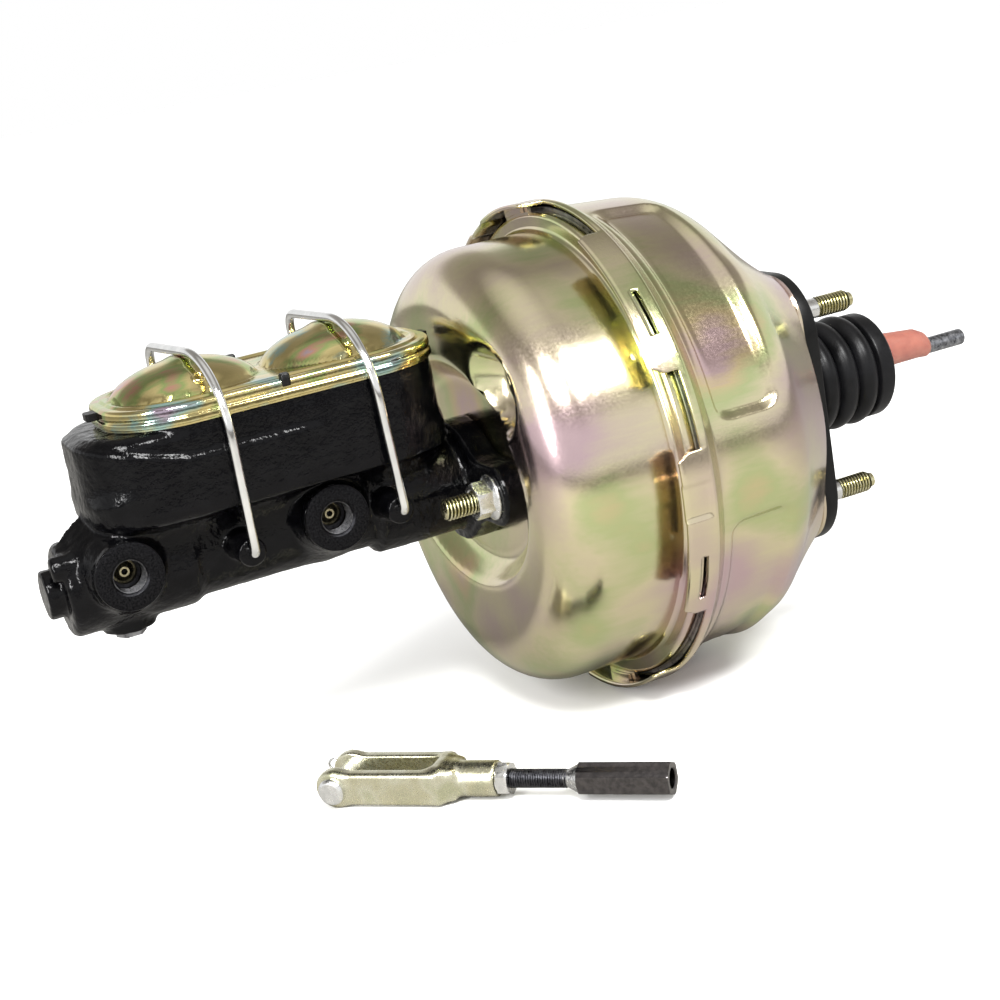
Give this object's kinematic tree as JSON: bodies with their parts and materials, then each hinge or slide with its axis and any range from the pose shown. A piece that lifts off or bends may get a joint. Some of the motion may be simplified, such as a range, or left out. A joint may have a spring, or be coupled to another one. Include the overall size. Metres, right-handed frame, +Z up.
{
  "type": "brake booster",
  "caption": "Vacuum brake booster with twist-locked shells, master cylinder with domed cover and wire bails, pushrod boot, and a loose clevis with rod adapter.",
  "frame": {"origin": "on the pushrod axis, in the middle of the four firewall studs, 4 mm behind the face of the firewall gasket", "axes": "+X along the pushrod into the cabin, +Z up, and the outlet ports face -Y"},
  "size_m": [0.4646, 0.2545, 0.2236],
  "materials": {
    "zinc_shell": "satin",
    "zinc_stud": "satin",
    "bright_zinc": "satin",
    "black_iron": "gloss",
    "zinc_cover": "gloss",
    "black_rubber": "satin",
    "red_sleeve": "matte",
    "rod_steel": "satin",
    "brass_seat": "satin",
    "black_plastic": "gloss",
    "phenolic": "satin",
    "plain_steel": "satin",
    "spring_steel": "satin",
    "piston_aluminium": "satin",
    "filter_foam": "matte",
    "clevis_zinc": "satin",
    "dark_steel": "satin"
  },
  "bodies": {
    "housing": {"front_shell": "zinc_shell", "rear_shell": "zinc_shell", "firewall_gasket": "black_rubber", "firewall_studs": "zinc_stud", "rear_stud_plate": "plain_steel", "front_stud_plate": "plain_steel", "master_cylinder_studs": "zinc_stud", "flange_nuts": "bright_zinc", "cylinder_body": "black_iron", "reservoir_gasket": "black_rubber", "reservoir_cover": "zinc_cover", "tube_seats": "brass_seat", "stop_screw": "plain_steel", "valve_grommet": "black_rubber", "center_divider": "plain_steel", "divider_seal": "black_rubber", "front_diaphragm": "black_rubber", "rear_diaphragm": "black_rubber", "hub_seal": "black_rubber", "front_seal": "black_rubber", "return_spring": "spring_steel", "secondary_spring": "spring_steel", "snap_ring": "spring_steel", "boot": "black_rubber", "rod_adapter": "dark_steel"},
    "power_piston": {"valve_body": "phenolic", "front_plate": "plain_steel", "rear_plate": "plain_steel", "valve_key": "plain_steel", "reaction_disc": "black_rubber", "output_rod": "plain_steel", "poppet_valve": "black_rubber", "poppet_spring": "spring_steel", "valve_retainer": "plain_steel", "rod_spring": "spring_steel", "air_filter": "filter_foam"},
    "plunger": {"air_valve": "plain_steel"},
    "pushrod": {"input_rod": "rod_steel", "rod_sleeve": "red_sleeve"},
    "primary_piston": {"primary_piston": "piston_aluminium", "primary_cups": "black_rubber"},
    "secondary_piston": {"secondary_piston": "piston_aluminium", "secondary_cups": "black_rubber", "primary_spring": "spring_steel"},
    "front_bail": {"front_bail": "bright_zinc"},
    "rear_bail": {"rear_bail": "bright_zinc"},
    "check_valve": {"check_valve": "black_plastic"},
    "clevis": {"clevis": "clevis_zinc"},
    "clevis_pin": {"clevis_pin": "bright_zinc", "pin_clip": "bright_zinc"},
    "jam_nut": {"jam_nut": "bright_zinc"}
  },
  "joints": [
    {"name": "power_stroke", "type": "slide", "parent": "housing", "child": "power_piston", "axis": [-1, 0, 0], "range_m": [0, 0.032], "stiffness_N_per_m": 5000, "springref_m": -0.018, "deforming": ["return_spring", "front_diaphragm", "rear_diaphragm", "boot"]},
    {"name": "valve_travel", "type": "slide", "parent": "power_piston", "child": "plunger", "axis": [-1, 0, 0], "range_m": [0, 0.002], "stiffness_N_per_m": 2000, "springref_m": -0.01, "deforming": ["rod_spring", "boot"]},
    {"name": "rod_swivel", "type": "hinge", "parent": "plunger", "child": "pushrod", "pos_m": [-0.022, 0, 0], "axis": [0, 1, 0], "range_deg": [-2.5, 2.5], "stiffness_Nm_per_rad": 20, "deforming": ["rod_spring", "boot"]},
    {"name": "primary_stroke", "type": "slide", "parent": "housing", "child": "primary_piston", "axis": [-1, 0, 0], "range_m": [0, 0.032], "deforming": ["primary_spring"]},
    {"name": "secondary_stroke", "type": "slide", "parent": "housing", "child": "secondary_piston", "axis": [-1, 0, 0], "range_m": [0, 0.016], "deforming": ["secondary_spring", "primary_spring"]},
    {"name": "front_bail_swing", "type": "hinge", "parent": "housing", "child": "front_bail", "pos_m": [-0.2675, 0, 0.0037], "axis": [0, -1, 0], "range_deg": [0, 75]},
    {"name": "rear_bail_swing", "type": "hinge", "parent": "housing", "child": "rear_bail", "pos_m": [-0.202, 0, 0.0037], "axis": [0, 1, 0], "range_deg": [0, 32]},
    {"name": "check_valve_turn", "type": "hinge", "parent": "housing", "child": "check_valve", "pos_m": [-0.176, 0.053, 0.046], "axis": [1, 0, 0], "range_deg": [-90, 90]},
    {"name": "clevis_adjust", "type": "slide", "parent": "housing", "child": "clevis", "axis": [0.6934, -0.7206, 0], "range_m": [-0.006, 0.018]},
    {"name": "jam_nut_adjust", "type": "slide", "parent": "housing", "child": "jam_nut", "axis": [0.6934, -0.7206, 0], "range_m": [-0.006, 0.018]},
    {"name": "clevis_pin_turn", "type": "hinge", "parent": "clevis", "child": "clevis_pin", "pos_m": [-0.24844, -0.03328, -0.1035], "axis": [0.7206, 0.6934, 0], "continuous": true}
  ],
  "couplings": [
    {"joint": "primary_stroke", "follows": "power_stroke", "ratio": 1},
    {"joint": "secondary_stroke", "follows": "power_stroke", "ratio": 0.5},
    {"joint": "jam_nut_adjust", "follows": "clevis_adjust", "ratio": 1}
  ]
}
